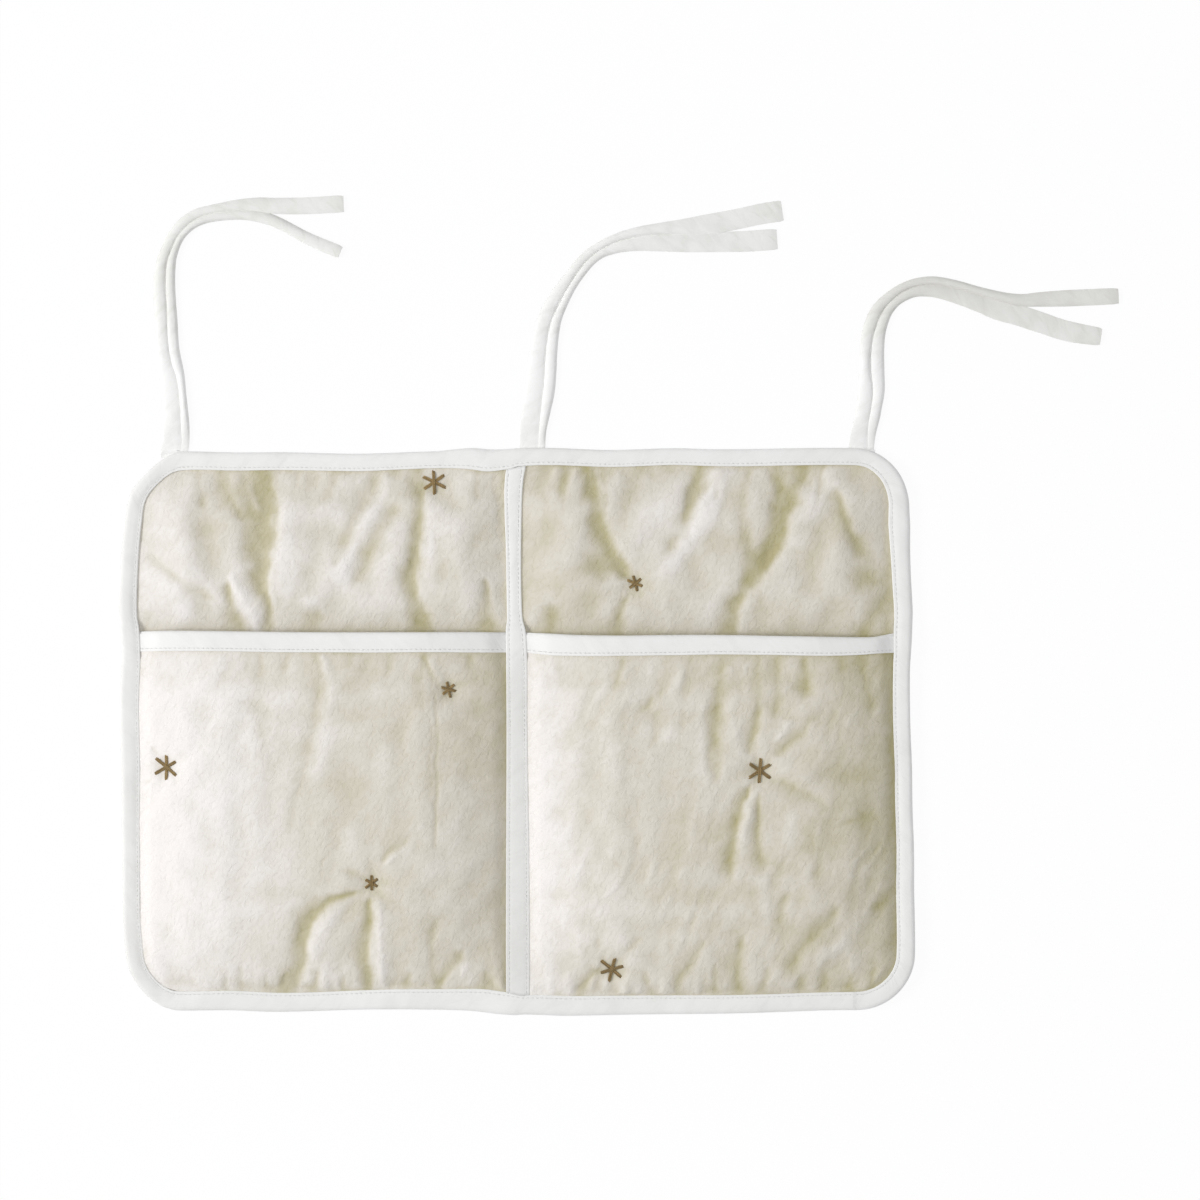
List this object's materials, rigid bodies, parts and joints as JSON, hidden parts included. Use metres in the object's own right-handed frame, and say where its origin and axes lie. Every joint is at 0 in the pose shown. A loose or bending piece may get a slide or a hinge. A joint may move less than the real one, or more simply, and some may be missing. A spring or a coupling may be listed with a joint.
{
  "type": "crib organizer",
  "caption": "Quilted cotton panel with a bound edge, padded pockets either side of a middle tape, and pairs of ties that hang it from a cot rail.",
  "frame": {"origin": "under the middle of the panel, on the plane that it lies on, without the ties", "axes": "+X across the panel to the right, +Y up the panel towards the ties, +Z out through the pockets"},
  "size_m": [0.6302, 0.5166, 0.0214],
  "materials": {
    "crinkled_cotton": "washed, crinkled cotton, matt",
    "lining_cotton": "plain cotton, matt",
    "wadding": "soft polyester wadding",
    "white_binding": "plain woven bias binding",
    "white_tape": "plain woven cotton tape",
    "white_thread": "sewing thread",
    "brown_thread": "thick stranded embroidery thread"
  },
  "bodies": {
    "panel": {"back_lining": "lining_cotton", "back_wadding": "wadding", "back_face": "crinkled_cotton", "edge_binding": "white_binding", "edge_stitching": "white_thread", "centre_tape": "white_binding", "centre_stitching_left": "white_thread", "centre_stitching_right": "white_thread", "star_upper_left": "brown_thread", "star_upper_right": "brown_thread", "tie_root_left": "white_tape", "tie_root_centre": "white_tape", "tie_root_right": "white_tape"},
    "pocket_left": {"pocket_lining_left": "lining_cotton", "pocket_wadding_left": "wadding", "pocket_face_left": "crinkled_cotton", "mouth_binding_left": "white_binding", "mouth_stitching_left": "white_thread", "star_pocket_left_rim": "brown_thread", "star_pocket_left_top": "brown_thread", "star_pocket_left_low": "brown_thread"},
    "pocket_right": {"pocket_lining_right": "lining_cotton", "pocket_wadding_right": "wadding", "pocket_face_right": "crinkled_cotton", "mouth_binding_right": "white_binding", "mouth_stitching_right": "white_thread", "star_pocket_right_middle": "brown_thread", "star_pocket_right_low": "brown_thread"},
    "tie_left_outer": {"tie_left_outer": "white_tape"},
    "tie_left_inner": {"tie_left_inner": "white_tape"},
    "tie_centre_outer": {"tie_centre_outer": "white_tape"},
    "tie_centre_inner": {"tie_centre_inner": "white_tape"},
    "tie_right_outer": {"tie_right_outer": "white_tape"},
    "tie_right_inner": {"tie_right_inner": "white_tape"}
  },
  "joints": [
    {"name": "pocket_left_open", "type": "hinge", "parent": "panel", "child": "pocket_left", "pos_m": [-0.1225, -0.166, 0.0052], "axis": [1, 0, 0], "range_deg": [0, 12]},
    {"name": "pocket_right_open", "type": "hinge", "parent": "panel", "child": "pocket_right", "pos_m": [0.1225, -0.166, 0.0052], "axis": [1, 0, 0], "range_deg": [0, 12]},
    {"name": "tie_left_outer_lift", "type": "hinge", "parent": "panel", "child": "tie_left_outer", "pos_m": [-0.22, 0.1778, 0.006], "axis": [1, 0, 0], "range_deg": [0, 140]},
    {"name": "tie_left_inner_lift", "type": "hinge", "parent": "panel", "child": "tie_left_inner", "pos_m": [-0.2117, 0.1778, 0.006], "axis": [1, 0, 0], "range_deg": [0, 140]},
    {"name": "tie_centre_outer_lift", "type": "hinge", "parent": "panel", "child": "tie_centre_outer", "pos_m": [0.0068, 0.1778, 0.006], "axis": [1, 0, 0], "range_deg": [0, 140]},
    {"name": "tie_centre_inner_lift", "type": "hinge", "parent": "panel", "child": "tie_centre_inner", "pos_m": [0.0147, 0.1778, 0.006], "axis": [1, 0, 0], "range_deg": [0, 140]},
    {"name": "tie_right_outer_lift", "type": "hinge", "parent": "panel", "child": "tie_right_outer", "pos_m": [0.215, 0.1778, 0.006], "axis": [1, 0, 0], "range_deg": [0, 140]},
    {"name": "tie_right_inner_lift", "type": "hinge", "parent": "panel", "child": "tie_right_inner", "pos_m": [0.2228, 0.1778, 0.006], "axis": [1, 0, 0], "range_deg": [0, 140]}
  ]
}
